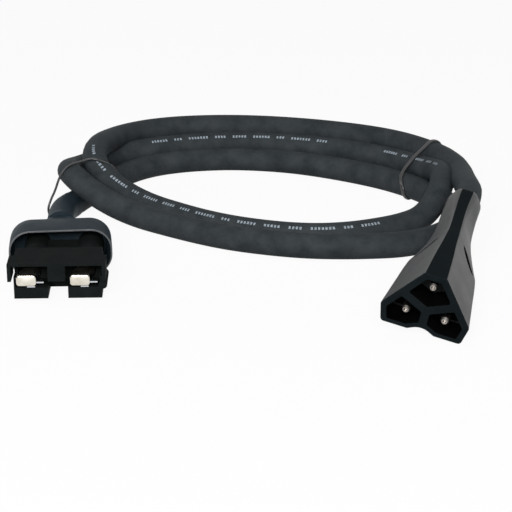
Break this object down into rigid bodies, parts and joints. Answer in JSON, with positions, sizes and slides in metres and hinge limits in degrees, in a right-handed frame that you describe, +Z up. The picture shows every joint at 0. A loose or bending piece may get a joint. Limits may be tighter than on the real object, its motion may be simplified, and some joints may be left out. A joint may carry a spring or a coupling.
{
  "type": "golf cart charger plug with coiled charging lead",
  "caption": "Black triangular handheld charger plug with round pins and a finger-dented grip, on a tied coil of round cable that ends in a flat battery connector with a rubber boot",
  "frame": {"origin": "on the ground, under the middle of the box that the plug and the battery connector with its boot make together", "axes": "+Z up, -Y towards the plug's face and the connector's mouth, +X from the connector to the plug"},
  "size_m": [0.1931, 0.2294, 0.0297],
  "materials": {
    "plug_shell": "satin, black",
    "carrier": "matte, black",
    "pin_metal": "nickel plated, polished",
    "wire_red": "satin, red",
    "wire_black": "satin, black",
    "connector_shell": "satin, dark blue grey",
    "contact_metal": "silver plated, satin",
    "spring_metal": "bright steel",
    "boot_rubber": "satin, black",
    "cable_jacket": "satin, black",
    "tie": "matte, black"
  },
  "bodies": {
    "root": {"plug_housing": "plug_shell", "pin_carrier": "carrier", "pin_positive": "pin_metal", "pin_negative": "pin_metal", "pin_interlock": "pin_metal", "plug_wire_positive": "wire_red", "plug_wire_negative": "wire_black", "interlock_jumper": "wire_black", "connector_housing": "connector_shell", "contact_positive": "contact_metal", "contact_negative": "contact_metal", "spring_positive": "spring_metal", "spring_negative": "spring_metal", "connector_wire_positive": "wire_red", "connector_wire_negative": "wire_black", "connector_boot": "boot_rubber", "connector_lead": "cable_jacket", "cable_coil": "cable_jacket", "plug_lead": "cable_jacket", "coil_tie_right": "tie", "coil_tie_left": "tie"}
  },
  "joints": []
}
